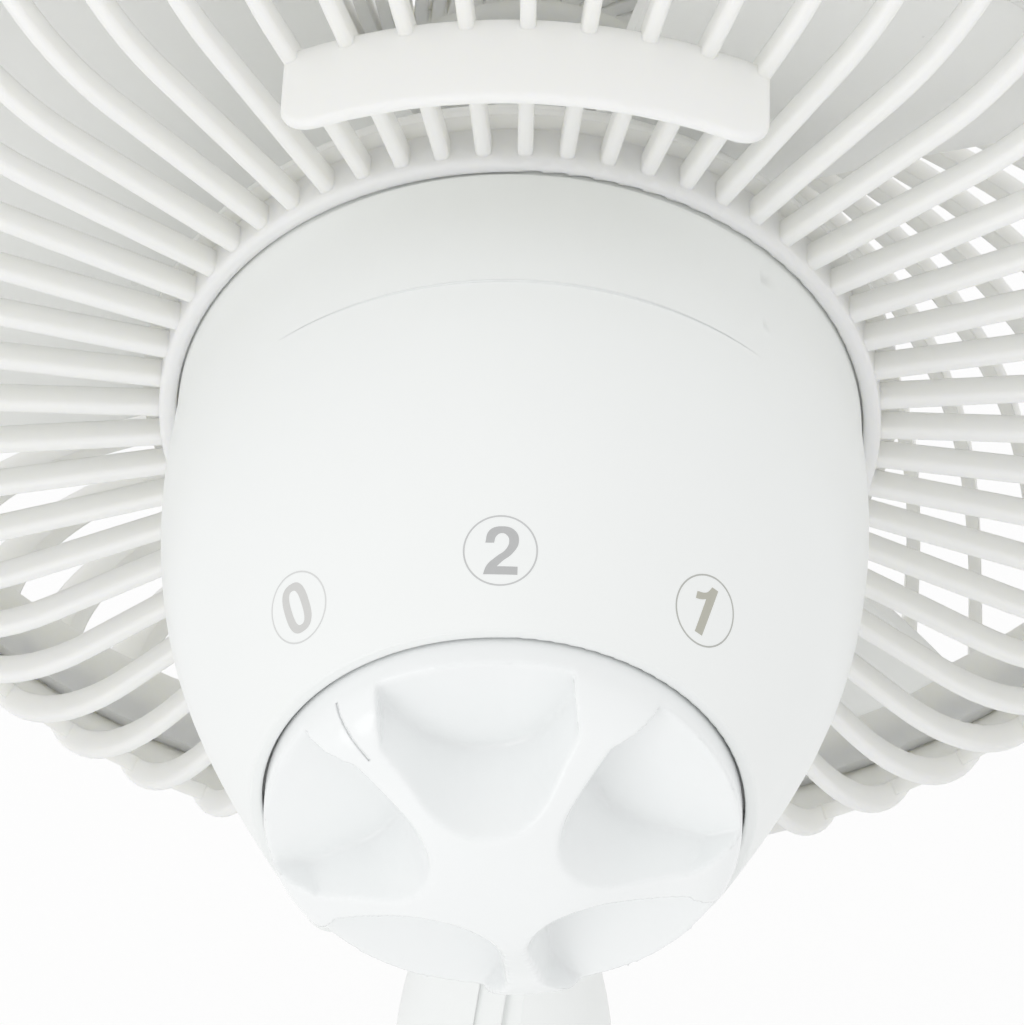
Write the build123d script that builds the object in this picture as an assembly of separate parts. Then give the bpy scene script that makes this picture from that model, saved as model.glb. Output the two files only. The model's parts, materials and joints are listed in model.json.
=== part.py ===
from build123d import *
import math
import os

# A small clip fan. The origin is the middle of the rubber sole's underside, +Z is up
# and the fan blows towards -Y. All sizes are in millimetres.

os.makedirs("parts", exist_ok=True)

# The head: everything in it is placed from the fan axis and the back plane of the guard.
fan_axis_height = 171.0
guard_back_y = -25.0
tilt_axis_drop = 54.0

# Rear guard
rib_count = 56
hub_ring_outer = 42.3
hub_ring_inner = 40.2
hub_ring_crest = 0.7
hub_ring_round = 0.8
guard_flat_radius = 66.0
guard_flat_level = -0.2
shoulder_radius = 30.0
rib_thickness = 1.8
rib_depth = 3.2
rib_edge_round = 0.7
rib_root = 1.0
rim_sink = 1.2
rim_thickness = 2.0
rim_rear_level = -12.5
guard_joint_level = -26.0
hub_floor_front = -9.0
hub_floor_rear = -6.5
hub_flange_radius = 44.5
hub_flange_root = 0.5
hub_flange_front = -5.8
hub_flange_rear = -4.8
bearing_boss_hole = 10.0
ledge_radius = 61.3
ledge_thickness = 1.5
ledge_height = 11.0
ledge_pitches = 8.2
ledge_corner = 4.2
ledge_edge_round = 0.7

# Front guard
guard_depth = 56.0
front_shoulder_radius = 24.0
front_rib_thickness = 1.7
front_rib_depth = 3.6
front_rib_slope = 32.0
front_rib_root = 1.0
front_hub_radius = 22.0
front_hub_thickness = 2.6
front_rim_length = 6.5
front_rim_wall = 2.4
lip_length = 4.0
lip_wall = 1.4
lip_gap = 0.25
rim_screw_radius = 1.1
rim_screw_head = 1.8
rim_screw_head_height = 1.0
rim_screw_head_room = 3.0
rim_screw_sink = 0.3
rim_screw_length = 6.0
rim_boss_width = 6.0
rim_boss_reach = 4.0
rim_boss_root = 0.2
front_cap_radius = 18.5
front_cap_thickness = 3.0
front_cap_crown = 1.6
front_cap_stem = 4.0
front_cap_gap = 0.1

# Fan
blade_count = 3
blade_tip_radius = 75.0
blade_hub_radius = 17.0
blade_hub_front = -37.0
blade_hub_rear = -16.0
blade_hub_wall = 2.0
blade_hub_round = 1.7
blade_boss_radius = 5.5
blade_web_count = 3
blade_web_short = 4.0
blade_thickness = 1.6
blade_turn = 43.0
blade_middle = -27.5
blade_front_limit = -45.0
blade_rear_limit = -12.0
# Radius, chord, pitch in degrees and camber of each section
blade_sections = (
    (15.0, 24.0, 44.0, 3.0),
    (34.0, 52.0, 30.0, 6.0),
    (56.0, 78.0, 22.0, 8.0),
    (78.0, 92.0, 17.0, 8.0),
)

# Motor
shaft_radius = 2.5
shaft_end_gap = 0.5
running_gap = 0.04
stator_radius = 31.0
stator_bore = 14.4
stator_yoke = 5.0
stator_front = 2.0
stator_stack = 16.0
pole_count = 4
pole_width = 11.0
pole_shoe_width = 17.0
pole_shoe_depth = 2.5
pole_shoe_overlap = 1.0
air_gap = 0.4
coil_wall = 4.0
coil_corner = 3.6
coil_overhang = 4.4
coil_yoke_gap = 0.3
coil_shoe_gap = 1.6
coil_slack = 0.1
end_ring_length = 2.6
end_ring_radius = 12.6
end_ring_bore = 8.0
bracket_wall = 2.0
bracket_plate = 2.5
rear_bracket_depth = 8.5
bush_radius = 5.0
bush_length = 8.0
bush_end_gap = 0.2
felt_radius = 7.0
felt_length = 3.0
felt_seat = 2.0
boss_radius = 9.0
boss_lid = 1.0
front_boss_reach = 3.0
rear_boss_reach = 4.0
boss_step = 0.5
thrust_washer_thickness = 0.8
thrust_washer_radius = 5.5
thrust_washer_gap = 0.1
motor_screw_count = 4
motor_screw_start = 45.0
motor_screw_radius = 1.5
motor_screw_circle = 28.4
motor_screw_head = 2.6
motor_screw_head_height = 1.6
motor_screw_short = 1.0
motor_screw_boss = 2.6

# Screws of the guard and the housing
screw_hole_gap = 0.1
screw_head_gap = 0.3
screw_slot_width = 0.8
screw_slot_depth = 0.7
plate_screw_circle = 19.0
plate_screw_radius = 1.5
plate_screw_head = 2.8
plate_screw_head_height = 1.8
plate_screw_boss = 3.0
plate_screw_boss_length = 4.5
plate_screw_length = 5.0
cover_screw_circle = 35.2
cover_screw_radius = 1.5
cover_screw_head = 2.8
cover_screw_head_height = 1.8
cover_screw_length = 12.0
cover_screw_boss = 3.6
cover_boss_length = 18.0
cover_screw_angles = (30.0, 150.0, 270.0)

# Motor housing: its radius at steps along the fan axis, measured from the guard's back plane
housing_steps = (0.0, 12.0, 24.0, 36.0, 48.0)
housing_radii = (40.0, 40.7, 40.5, 38.5, 34.3)
housing_end = 61.0
housing_end_radius = 28.2
housing_end_slope = 0.5
housing_wall = 2.2
housing_lip_round = 0.3
housing_floor_gap = 0.1
cavity_end_widening = 1.0
brow_level = 19.0
brow_shift = 1.2
brow_half_angle = 43.0
brow_front = 0.65
seam_depth = 0.3
seam_gap = 0.05
knob_recess_depth = 2.0

# Speed switch and knob
knob_radius = 26.6
knob_gap = 0.3
knob_rim_level = 63.6
knob_crown_level = 74.0
# Shares of the knob's radius and of its rise, from the rim up to the crown
knob_profile = ((0.925, 0.33), (0.72, 0.55), (0.36, 0.9))
knob_wall = 2.2
knob_floor_gap = 0.4
lobe_count = 5
arm_width = 6.0
scoop_inner = 11.3
scoop_half_width = 10.8
scoop_floor = 62.2
scoop_slope = 8.0
scoop_lean = 17.0
pointer_angle = 134.0
pointer_width = 0.6
pointer_depth = 0.4
pointer_inner = 21.0
knob_boss_radius = 5.2
knob_boss_gap = 0.6
switch_size = 22.0
switch_corner = 2.0
switch_length = 12.0
switch_neck_radius = 3.5
switch_neck_reach = 0.2
switch_nut_flats = 10.0
switch_nut_height = 1.8
switch_shaft_radius = 3.0
switch_shaft_flat = 0.8
switch_shaft_length = 8.5
switch_shaft_root = 3.0
switch_shaft_gap = 0.1
terminal_count = 3
terminal_width = 2.8
terminal_thickness = 0.8
terminal_length = 5.0
terminal_pitch = 5.5

# Cord gland, without its cord
gland_level = 44.0
gland_radius = 4.0
gland_flange = 5.6
gland_flange_thickness = 1.4
gland_bore = 1.8
gland_body_length = 3.6
gland_nose_length = 6.0
gland_nose_root = 4.2
gland_nose_radius = 3.0
gland_seat_drop = 38.6
gland_seat_margin = 0.6
gland_seat_depth = 10.0

# Tilt joint
tongue_thickness = 9.0
tongue_radius = 8.5
tongue_overlap = 3.0
tilt_bolt_radius = 2.0
tilt_bolt_clearance = 0.06
tilt_bolt_sink = 1.0
tilt_bolt_end_wall = 6.0
washer_thickness = 0.8
washer_radius = 7.0
joint_gap = 0.1
ear_thickness = 5.0
knuckle_radius = 10.0
knuckle_round = 1.2
knuckle_slot_gap = 0.6
tilt_nut_flats = 7.0
tilt_nut_thickness = 3.0
tilt_knob_radius = 5.2
tilt_knob_end = 24.4
tilt_knob_round = 3.6
tilt_level = 25.0

# Neck: half width and half depth at heights above its foot
neck_heights = (0.0, 9.0, 29.0, 48.0, 57.0, 64.0)
neck_half_widths = (24.0, 20.4, 15.8, 13.2, 12.0, 10.8)
neck_half_depths = (24.0, 18.4, 13.0, 10.8, 10.2, 9.9)
neck_top_drop = 5.5
neck_hollow_drop = 22.0
neck_flange_thickness = 3.0
neck_wall = 2.4
flute_count = 2
flute_pitch = 3.3
flute_depth = 1.1
flute_shallow = 0.05
flute_reach = 3.0
flute_heights = (29.0, 38.0, 57.0, 68.0)
flute_lean = 0.1
flute_shift = -0.6

# Swivel under the neck
swivel_seat_height = 44.0
swivel_bolt_radius = 2.5
swivel_bolt_end = 1.0
swivel_head_radius = 4.6
swivel_head_height = 2.6
swivel_washer_radius = 6.0
swivel_washer_thickness = 1.0
swivel_nut_flats = 8.0
swivel_nut_height = 4.0
swivel_reach = 90.0
stop_lug_circle = 18.0
stop_lug_radius = 1.4
stop_lug_height = 1.2
stop_lug_root = 0.5
stop_gap = 0.3

# Clip: upper jaw
jaw_width = 56.0
jaw_wall = 2.5
jaw_edge_round = 3.0
jaw_tip_y = -64.0
jaw_tip_height = 13.6
jaw_tip_thickness = 5.0
jaw_tip_round = 2.5
jaw_swell = 2.5
jaw_throat_height = 22.0
throat_margin = 2.0
seat_margin = 3.0
seat_wall = 3.0
seat_round = 6.0
lever_end_y = 52.0
lever_drop = 6.0
lever_edge = 4.0
lever_round = 2.0
skirt_front_y = -6.0
skirt_rear_y = 24.0
skirt_rear_height = 26.0
ridge_count = 5
ridge_pitch = 3.2
ridge_radius = 0.9
ridge_sink = 0.3
ridge_margin = 8.0

# Clip: hinge
pin_y = 10.0
pin_height = 24.0
pin_radius = 2.5
pin_gap = 0.06
ear_radius = 7.5
pin_cap_radius = 4.6
pin_cap_thickness = 1.6
pin_cap_gap = 0.1
spring_wire_radius = 1.1
spring_coil_radius = 6.0
spring_whole_turns = 6
spring_pitch = 3.0
spring_splay = 25.0
spring_upper_leg = 22.0
spring_lower_leg = 26.0

# Clip: foot, sole and grip pads
foot_width = 96.0
foot_front_y = -70.0
foot_rear_y = 54.0
foot_corner = 26.0
foot_thickness = 5.0
foot_edge_round = 3.0
foot_ear_gap = 0.5
foot_ear_thickness = 3.2
foot_ear_half = 16.0
foot_ear_radius = 6.5
foot_root = 1.0
pad_seat_margin = 2.0
pad_seat_round = 2.0
sole_inset = 12.0
sole_thickness = 2.0
sole_recess = 1.0
grip_pad_length = 20.0
grip_pad_width = 50.0
grip_pad_thickness = 3.0
grip_pad_sink = 1.0
grip_pad_setback = 0.8
grip_groove_count = 4
grip_groove_width = 1.4
grip_groove_depth = 0.8
grip_gap = 0.4

# Levels and places worked out from the sizes above
base = (Align.CENTER, Align.CENTER, Align.MIN)
head_plane = Plane(
    origin=(0, guard_back_y, fan_axis_height), x_dir=(-1, 0, 0), z_dir=(0, 1, 0)
)
tilt_height = fan_axis_height - tilt_axis_drop
tilt_y = guard_back_y + tilt_level
front_plane_level = hub_ring_crest - guard_depth
ledge_angle = ledge_pitches * 360 / rib_count
rim_screw_level = guard_joint_level + lip_length / 2
rim_screw_angle = 270 + 180 / rib_count
stator_rear = stator_front + stator_stack
front_boss_front = hub_floor_front - front_boss_reach
rear_plate_rear = stator_rear + rear_bracket_depth
rear_boss_rear = rear_plate_rear + rear_boss_reach
rear_bush_front = rear_boss_rear - boss_lid - bush_end_gap - bush_length
shaft_front = blade_hub_front - blade_hub_wall
shaft_rear = rear_boss_rear - boss_lid - shaft_end_gap
housing_front = hub_floor_rear + housing_floor_gap
knob_front = housing_end - knob_recess_depth + knob_floor_gap
switch_rear = housing_end - knob_recess_depth - housing_wall
switch_nut_front = switch_rear + housing_wall
knob_boss_front = switch_nut_front + switch_nut_height + knob_boss_gap
switch_shaft_rear = switch_nut_front + switch_shaft_length
ear_inner = tongue_thickness / 2 + washer_thickness + joint_gap
ear_outer = ear_inner + ear_thickness
neck_low = swivel_seat_height
jaw_top = swivel_seat_height
seat_half = neck_half_depths[0] + seat_margin
swivel_washer_top = jaw_top - seat_wall
swivel_nut_low = swivel_washer_top - swivel_washer_thickness - swivel_nut_height
foot_low = sole_thickness - sole_recess
foot_top = foot_low + foot_thickness
foot_middle_y = (foot_front_y + foot_rear_y) / 2
pad_face_height = jaw_tip_height - (grip_pad_thickness - grip_pad_sink)
lower_seat = pad_face_height - grip_gap - (grip_pad_thickness - grip_pad_sink)


def rod(radius, low, high):
    """A cylinder about the local Z axis, between two levels."""
    return Pos(0, 0, low) * Cylinder(radius, high - low, align=base)


def tube(outer, inner, low, high):
    """A hollow cylinder about the local Z axis, between two levels."""
    return rod(outer, low, high) - rod(inner, low, high)


def cross_rod(radius, left, right, y, z):
    """A cylinder along the world X axis."""
    return Pos(left, y, z) * Rot(0, 90, 0) * Cylinder(radius, right - left, align=base)


def polar_point(radius, angle):
    """The point at an angle from local X, on a circle about the local Z axis."""
    turn = math.radians(angle)
    return radius * math.cos(turn), radius * math.sin(turn)


def polar(radius, angle):
    """The place at an angle from local X, on a circle about the local Z axis."""
    return Pos(*polar_point(radius, angle), 0)


def around(piece, count, start=0.0):
    """Copies of a piece, evenly turned about the local Z axis."""
    return [Rot(0, 0, start + i * 360 / count) * piece for i in range(count)]


def turned(outline):
    """A body of revolution about local Z, from a closed outline in radius and level."""
    return revolve(Plane.XZ * make_face(outline), Axis.Z)


def side_face(outline):
    """An outline in Y and height, as a face across the world X axis."""
    return Plane.YZ * make_face(outline)


def slotted_screw(shank, head, head_height, length):
    """A screw along local +Z, its head below the origin, with a slot across it."""
    screw = rod(shank, 0, length) + rod(head, -head_height, 0)
    slot = Box(2 * head, screw_slot_width, 2 * screw_slot_depth)
    return screw - Pos(0, 0, -head_height) * slot


def hex_rod(flats, low, high):
    """A six-sided bar about local Z."""
    face = RegularPolygon(flats / 2, 6, major_radius=False)
    return Pos(0, 0, low) * extrude(face, high - low)


def between(steps, values, place):
    """The value at a place along the given steps, by straight lines between them."""
    pairs = list(zip(steps, values))
    for (low, first), (high, second) in zip(pairs, pairs[1:]):
        if place <= high:
            return first + (second - first) * (place - low) / (high - low)
    return values[-1]


# Rear guard

def shoulder_radius_at(level, sink):
    """Radius of the rear guard's shoulder, a depth under the rib crests, at a level."""
    drop = guard_flat_level - shoulder_radius - level
    return guard_flat_radius + math.sqrt((shoulder_radius - sink) ** 2 - drop ** 2)


def shoulder_angle_at(level, sink):
    """The angle of that place round the shoulder, from the fan's radius."""
    lift = level - guard_flat_level + shoulder_radius
    return math.degrees(math.asin(lift / (shoulder_radius - sink)))


def shoulder_point(sink, angle):
    """A point on the rear guard's shoulder, by its angle from the fan's radius."""
    x, y = polar_point(shoulder_radius - sink, angle)
    return guard_flat_radius + x, guard_flat_level - shoulder_radius + y


guard_rim_radius = shoulder_radius_at(guard_joint_level, 0)
front_flat_radius = guard_rim_radius - front_shoulder_radius


def guard_rib():
    inner_sink = rim_sink + rim_thickness
    low = shoulder_angle_at(guard_joint_level, 0)
    low_inner = shoulder_angle_at(guard_joint_level, inner_sink)
    root = hub_ring_outer - rib_root
    start = (root, guard_flat_level)
    bend = (guard_flat_radius, guard_flat_level)
    inner_start = (root, guard_flat_level - rib_depth)
    inner_bend = shoulder_point(inner_sink, 90)
    outer_end = shoulder_point(0, low)
    inner_end = shoulder_point(inner_sink, low_inner)
    outline = [
        Line(start, bend),
        ThreePointArc(bend, shoulder_point(0, (90 + low) / 2), outer_end),
        Line(outer_end, inner_end),
        ThreePointArc(inner_end, shoulder_point(inner_sink, (90 + low) / 2), inner_bend),
        Line(inner_bend, inner_start),
        Line(inner_start, start),
    ]
    rib = extrude(Plane.XZ * make_face(Curve() + outline), rib_thickness / 2, both=True)
    sides = rib.edges().filter_by(
        lambda e: abs(abs((e @ 0.5).Y) - rib_thickness / 2) < 0.01
    )
    crest = sides.filter_by(lambda e: all(on_crest(e @ t) for t in (0, 0.5, 1)))
    return fillet(crest, rib_edge_round)


def on_crest(point):
    """True for a point on the outer curve of a rib."""
    if point.X <= guard_flat_radius:
        return abs(point.Z - guard_flat_level) < 0.01
    lift = point.Z - guard_flat_level + shoulder_radius
    reach = math.hypot(point.X - guard_flat_radius, lift)
    return abs(reach - shoulder_radius) < 0.01


def guard_rim():
    inner_sink = rim_sink + rim_thickness
    high = shoulder_angle_at(rim_rear_level, rim_sink)
    low = shoulder_angle_at(guard_joint_level, rim_sink)
    low_inner = shoulder_angle_at(guard_joint_level, inner_sink)
    outer_low = shoulder_point(rim_sink, low)
    outer_high = shoulder_point(rim_sink, high)
    inner_low = shoulder_point(inner_sink, low_inner)
    inner_high = shoulder_point(inner_sink, high)
    outline = [
        ThreePointArc(outer_low, shoulder_point(rim_sink, (low + high) / 2), outer_high),
        Line(outer_high, inner_high),
        ThreePointArc(
            inner_high, shoulder_point(inner_sink, (low_inner + high) / 2), inner_low
        ),
        Line(inner_low, outer_low),
    ]
    return turned(Curve() + outline)


def hub_cup():
    ring = tube(hub_ring_outer, hub_ring_inner, hub_floor_front, hub_ring_crest)
    ring = fillet(ring.edges().group_by(Axis.Z)[-1], hub_ring_round)
    inside = hub_ring_outer - hub_flange_root
    ring += tube(hub_flange_radius, inside, hub_flange_front, hub_flange_rear)
    ring += tube(inside, bearing_boss_hole, hub_floor_front, hub_floor_rear)
    places = motor_screw_places(plate_screw_circle)
    places += [polar(cover_screw_circle, angle) for angle in cover_screw_angles]
    for place in places:
        ring -= place * rod(plate_screw_radius + screw_hole_gap, hub_floor_front, hub_floor_rear)
    return ring


def motor_screw_places(circle):
    """The four places at which the motor is screwed together and to the guard."""
    step = 360 / motor_screw_count
    return [polar(circle, motor_screw_start + i * step) for i in range(motor_screw_count)]


def finger_ledge():
    foot = guard_flat_level - rib_depth / 2
    band = tube(ledge_radius, ledge_radius - ledge_thickness, foot, ledge_height)
    half = ledge_radius * math.sin(math.radians(ledge_angle / 2))
    shape = Rectangle(2 * half, ledge_height - foot, align=(Align.CENTER, Align.MIN))
    shape = fillet(shape.vertices().group_by(Axis.Y)[-1], ledge_corner)
    window = extrude(Plane.XZ * shape, -2 * ledge_radius)
    ledge = band & (Pos(0, 0, foot) * window)
    rear = ledge.edges().filter_by(lambda e: (e @ 0.5).Z > ledge_height - 0.01)
    return fillet(rear, ledge_edge_round)


def rim_screw_place(radius):
    """The lock screw's line, between two ribs at the bottom, pointing at the fan axis."""
    place = polar(radius, rim_screw_angle) * Pos(0, 0, rim_screw_level)
    return place * Rot(0, 0, rim_screw_angle) * Rot(0, -90, 0)


rim_screw_seat = shoulder_radius_at(rim_screw_level, rim_sink) - rim_screw_sink


def rear_guard():
    guard = hub_cup() + around(guard_rib(), rib_count) + guard_rim()
    hole = rod(rim_screw_radius + screw_hole_gap, 0, rim_screw_length)
    hole += rod(rim_screw_head + screw_head_gap, -rim_screw_head_room, 0)
    return guard - rim_screw_place(rim_screw_seat) * hole + finger_ledge()


def rim_screw():
    """One screw locks the front guard's lip to the rear rim."""
    return rim_screw_place(rim_screw_seat) * slotted_screw(
        rim_screw_radius, rim_screw_head, rim_screw_head_height, rim_screw_length
    )


# Front guard

def front_crest(sink):
    """The front guard's section line, from its hub to its rim, sunk under the crest."""
    reach = front_shoulder_radius - sink
    centre_level = front_plane_level + front_shoulder_radius
    corner = math.sqrt(0.5) * reach
    flat = front_plane_level + sink
    arc = ThreePointArc(
        (front_flat_radius, flat),
        (front_flat_radius + corner, centre_level - corner),
        (front_flat_radius + reach, centre_level),
    )
    return flat, centre_level, arc


def front_band():
    """The thickness that the front ribs fill, all the way round."""
    flat_out, centre_level, outer_arc = front_crest(0)
    flat_in, centre_level, inner_arc = front_crest(front_rib_depth)
    inner_rim = guard_rim_radius - front_rib_depth
    start = front_hub_radius - front_rib_root
    rear = guard_joint_level - front_rib_root
    outline = [
        Line((start, flat_out), (front_flat_radius, flat_out)),
        outer_arc,
        Line((guard_rim_radius, centre_level), (guard_rim_radius, rear)),
        Line((guard_rim_radius, rear), (inner_rim, rear)),
        Line((inner_rim, rear), (inner_rim, centre_level)),
        inner_arc,
        Line((front_flat_radius, flat_in), (start, flat_in)),
        Line((start, flat_in), (start, flat_out)),
    ]
    return turned(Curve() + outline)


def swirl_point(radius, offset):
    """A point on the swirled line of a front rib, moved sideways by an offset."""
    slope = math.tan(math.radians(front_rib_slope))
    turn = -slope * math.log(radius / front_hub_radius) + offset / radius
    return polar_point(radius, math.degrees(turn))


def swirl_arc(offset):
    start = front_hub_radius - front_rib_root
    middle = math.sqrt(start * guard_rim_radius)
    return ThreePointArc(*[swirl_point(r, offset) for r in (start, middle, guard_rim_radius)])


def front_rib(band):
    half = front_rib_thickness / 2 / math.cos(math.radians(front_rib_slope))
    one_side = swirl_arc(half)
    other_side = swirl_arc(-half)
    outline = [
        one_side,
        Line(one_side @ 1, other_side @ 1),
        other_side,
        Line(other_side @ 0, one_side @ 0),
    ]
    strip = extrude(make_face(Curve() + outline), guard_depth)
    return (Pos(0, 0, front_plane_level - front_rib_root) * strip) & band


def front_guard():
    hub_rear = front_plane_level + front_hub_thickness
    hub = tube(front_hub_radius, front_cap_stem + front_cap_gap, front_plane_level, hub_rear)
    guard = hub + around(front_rib(front_band()), rib_count)
    rim_front = guard_joint_level - front_rim_length
    guard += tube(
        guard_rim_radius, guard_rim_radius - front_rim_wall, rim_front, guard_joint_level
    )
    lip_top = guard_joint_level + lip_length
    lip_outer = shoulder_radius_at(lip_top, rim_sink + rim_thickness) - lip_gap
    lip_inner = lip_outer - lip_wall
    guard += tube(lip_outer, lip_inner, rim_front, lip_top)
    guard += tube(guard_rim_radius - front_rim_wall / 2, lip_inner, rim_front, guard_joint_level)
    boss_middle = lip_inner - rim_boss_reach / 2 + rim_boss_root
    boss = Pos(boss_middle, 0, rim_front) * Box(
        rim_boss_reach, rim_boss_width, lip_top - rim_front, align=base
    )
    guard += Rot(0, 0, rim_screw_angle) * boss
    hole = rod(rim_screw_radius, 0, rim_screw_length)
    return guard - rim_screw_place(lip_outer + front_rib_root) * hole


def front_cap():
    """A thin crowned disc, its crown towards the front."""
    rim = front_plane_level - front_cap_thickness + front_cap_crown
    crown = front_plane_level - front_cap_thickness
    sag = front_cap_crown / 4
    outline = [
        ThreePointArc(
            (0, crown), (front_cap_radius / 2, crown + sag), (front_cap_radius, rim)
        ),
        Line((front_cap_radius, rim), (front_cap_radius, front_plane_level)),
        Line((front_cap_radius, front_plane_level), (0, front_plane_level)),
        Line((0, front_plane_level), (0, crown)),
    ]
    stem = rod(front_cap_stem, front_plane_level, front_plane_level + front_hub_thickness)
    return turned(Curve() + outline) + stem


# Fan

def blade_section(radius, chord, pitch, camber):
    half = chord / 2
    top = ThreePointArc((-half, 0), (0, camber), (half, 0))
    low = ThreePointArc(
        (half, -blade_thickness), (0, camber - blade_thickness), (-half, -blade_thickness)
    )
    ends = [Line(top @ 1, low @ 0), Line(low @ 1, top @ 0)]
    face = make_face(Curve() + [top, low] + ends)
    plane = Plane(origin=(radius, 0, blade_middle), x_dir=(0, 1, 0), z_dir=(1, 0, 0))
    return plane * (Rot(0, 0, pitch) * face)


def fan_blade():
    inside = blade_hub_radius - blade_hub_wall
    keep = tube(blade_tip_radius, inside + 1, blade_front_limit, blade_rear_limit)
    blade = loft([blade_section(*row) for row in blade_sections]) & keep
    hub = tube(blade_hub_radius, inside, blade_hub_front, blade_hub_rear)
    nose = rod(blade_hub_radius, shaft_front, blade_hub_front)
    nose = fillet(nose.edges().group_by(Axis.Z)[0], blade_hub_round)
    boss = rod(blade_boss_radius, blade_hub_front, blade_hub_rear)
    web = Pos(0, 0, blade_hub_front) * Box(
        2 * inside + blade_hub_wall,
        blade_hub_wall,
        blade_hub_rear - blade_hub_front - blade_web_short,
        align=base,
    )
    fan = hub + nose + boss + around(web, blade_web_count)
    fan += around(blade, blade_count, blade_turn)
    return fan - rod(shaft_radius, shaft_front, blade_hub_rear)


# Motor

def motor_shaft():
    return rod(shaft_radius, shaft_front, shaft_rear)


def rotor():
    core = tube(stator_bore - air_gap, shaft_radius, stator_front, stator_rear)
    front_ring = tube(
        end_ring_radius, end_ring_bore, stator_front - end_ring_length, stator_front
    )
    rear_ring = tube(
        end_ring_radius, end_ring_bore, stator_rear, stator_rear + end_ring_length
    )
    return core + front_ring + rear_ring


def stator_core():
    yoke = tube(stator_radius, stator_radius - stator_yoke, stator_front, stator_rear)
    reach = stator_radius - stator_yoke / 2
    pole = Pos(reach / 2, 0, stator_front) * Box(reach, pole_width, stator_stack, align=base)
    shoe = Pos(stator_bore + pole_shoe_depth / 2, 0, stator_front) * Box(
        pole_shoe_depth + 2 * pole_shoe_overlap, pole_shoe_width, stator_stack, align=base
    )
    core = yoke + around(pole + shoe, pole_count)
    core -= rod(stator_bore, stator_front, stator_rear)
    for place in motor_screw_places(motor_screw_circle):
        core -= place * rod(motor_screw_radius + screw_hole_gap, stator_front, stator_rear)
    return core


def stator_windings():
    """A coil round each pole, between its shoe and the yoke."""
    low = stator_front - coil_overhang
    high = stator_rear + coil_overhang
    half_width = pole_width / 2 + coil_wall
    inside = stator_bore + pole_shoe_depth + coil_shoe_gap
    outside = math.sqrt((stator_radius - stator_yoke - coil_yoke_gap) ** 2 - half_width ** 2)
    depth = outside - inside
    outer = Box(depth, 2 * half_width, high - low)
    outer = fillet(outer.edges().filter_by(Axis.X), coil_corner)
    inner = Box(depth, pole_width + 2 * coil_slack, stator_stack + 2 * coil_slack)
    coil = Pos((inside + outside) / 2, 0, (low + high) / 2) * (outer - inner)
    return Compound(children=around(coil, pole_count))


def front_bracket():
    plate_rear = hub_floor_rear + bracket_plate
    felt_front = front_boss_front + felt_seat
    bracket = tube(stator_radius, bush_radius, hub_floor_rear, plate_rear)
    bracket += tube(stator_radius, stator_radius - bracket_wall, hub_floor_rear, stator_front)
    bracket += tube(boss_radius, bush_radius, front_boss_front, plate_rear + boss_step)
    bracket -= rod(felt_radius, felt_front, felt_front + felt_length)
    boss_rear = hub_floor_rear + plate_screw_boss_length
    for place in motor_screw_places(plate_screw_circle):
        bracket += place * rod(plate_screw_boss, hub_floor_rear, boss_rear)
        bracket -= place * rod(plate_screw_radius, hub_floor_rear, boss_rear)
    for place in motor_screw_places(motor_screw_circle):
        bracket += place * rod(motor_screw_boss, hub_floor_rear, stator_front)
        bracket -= place * rod(motor_screw_radius, hub_floor_rear, stator_front)
    return bracket


def rear_bracket():
    plate_front = rear_plate_rear - bracket_plate
    lid_front = rear_boss_rear - boss_lid
    felt_front = rear_bush_front + felt_seat
    bracket = tube(stator_radius, bush_radius, plate_front, rear_plate_rear)
    bracket += tube(stator_radius, stator_radius - bracket_wall, stator_rear, rear_plate_rear)
    bracket += tube(boss_radius, bush_radius, rear_bush_front, lid_front)
    bracket += rod(boss_radius, lid_front, rear_boss_rear)
    bracket -= rod(felt_radius, felt_front, felt_front + felt_length)
    for place in motor_screw_places(motor_screw_circle):
        bracket += place * rod(motor_screw_boss, stator_rear, rear_plate_rear)
        bracket -= place * rod(motor_screw_radius, stator_rear, rear_plate_rear)
    return bracket


def bush(low):
    return tube(bush_radius, shaft_radius + running_gap, low, low + bush_length)


def oil_felts():
    fronts = (front_boss_front + felt_seat, rear_bush_front + felt_seat)
    return Compound(
        children=[tube(felt_radius, bush_radius, low, low + felt_length) for low in fronts]
    )


def thrust_washers():
    front_low = hub_floor_rear + bracket_plate + boss_step + thrust_washer_gap
    rear_low = rear_bush_front - thrust_washer_gap - thrust_washer_thickness
    washers = [
        tube(thrust_washer_radius, shaft_radius, low, low + thrust_washer_thickness)
        for low in (front_low, rear_low)
    ]
    return Compound(children=washers)


def motor_screws():
    length = rear_plate_rear - hub_floor_rear - motor_screw_short
    screw = slotted_screw(motor_screw_radius, motor_screw_head, motor_screw_head_height, length)
    screw = Pos(0, 0, rear_plate_rear) * Rot(180, 0, 0) * screw
    return Compound(
        children=[place * screw for place in motor_screw_places(motor_screw_circle)]
    )


def plate_screws():
    screw = Pos(0, 0, hub_floor_front) * slotted_screw(
        plate_screw_radius, plate_screw_head, plate_screw_head_height, plate_screw_length
    )
    return Compound(
        children=[place * screw for place in motor_screw_places(plate_screw_circle)]
    )


def cover_screws():
    screw = Pos(0, 0, hub_floor_front) * slotted_screw(
        cover_screw_radius, cover_screw_head, cover_screw_head_height, cover_screw_length
    )
    return Compound(
        children=[polar(cover_screw_circle, angle) * screw for angle in cover_screw_angles]
    )


# Motor housing

def housing_skin(sink, high, high_radius):
    """The housing's curved section line, sunk under its surface."""
    wall = [(r - sink, z) for r, z in zip(housing_radii, housing_steps)]
    return Spline(
        *wall, (high_radius, high), tangents=[(0, 1), (-housing_end_slope, 1)]
    )


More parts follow.
